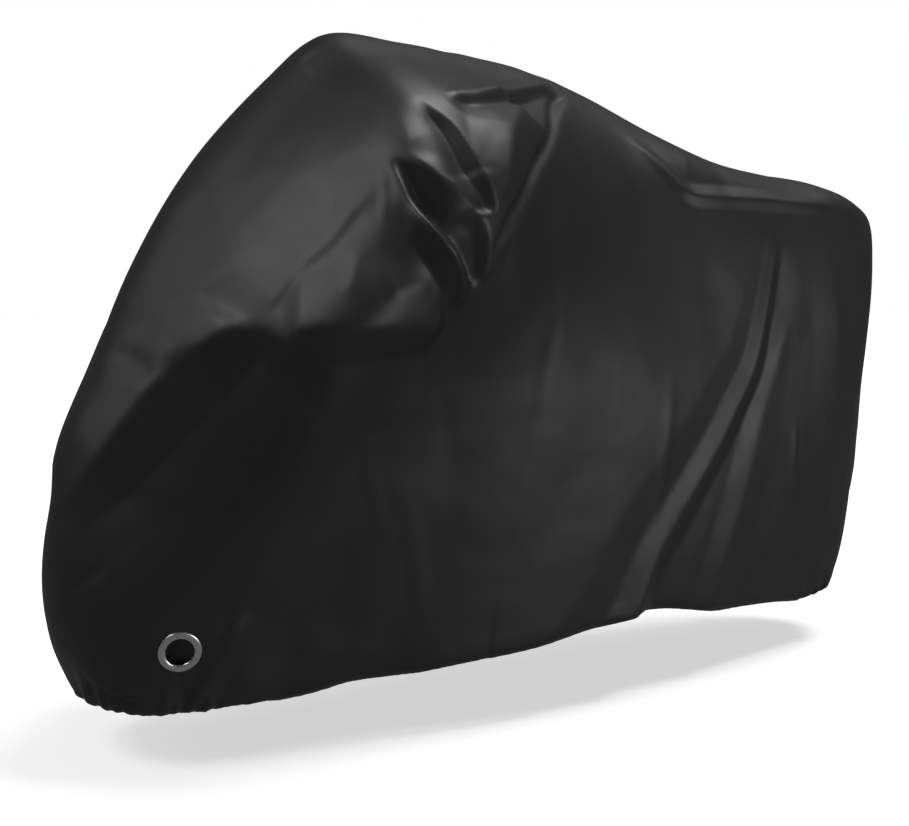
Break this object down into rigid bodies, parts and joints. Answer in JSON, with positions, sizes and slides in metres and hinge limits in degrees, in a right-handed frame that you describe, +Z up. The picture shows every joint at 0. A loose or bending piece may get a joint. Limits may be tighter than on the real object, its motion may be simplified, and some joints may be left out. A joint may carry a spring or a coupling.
{
  "type": "motorcycle cover",
  "caption": "Fitted full-length cover of thin black coated cloth, draped and creased over a motorcycle's shape, open below, with a steel lock eyelet on each side at the front.",
  "frame": {"origin": "underside of the cloth at the crest, on the centre line, where the covered machine's handlebar and mirrors hold it up", "axes": "+X to the tail of the covered machine, +Y to its right side, +Z up; the nose points along -X"},
  "size_m": [1.9817, 0.8127, 1.2049],
  "materials": {
    "cover_cloth": "smooth coated woven cloth, near-black, with a soft sheen",
    "eyelet_steel": "bright polished steel"
  },
  "bodies": {
    "root": {"cover": "cover_cloth", "eyelet_patch_left": "cover_cloth", "eyelet_patch_right": "cover_cloth", "eyelet_left": "eyelet_steel", "eyelet_right": "eyelet_steel", "eyelet_washer_left": "eyelet_steel", "eyelet_washer_right": "eyelet_steel"}
  },
  "joints": []
}
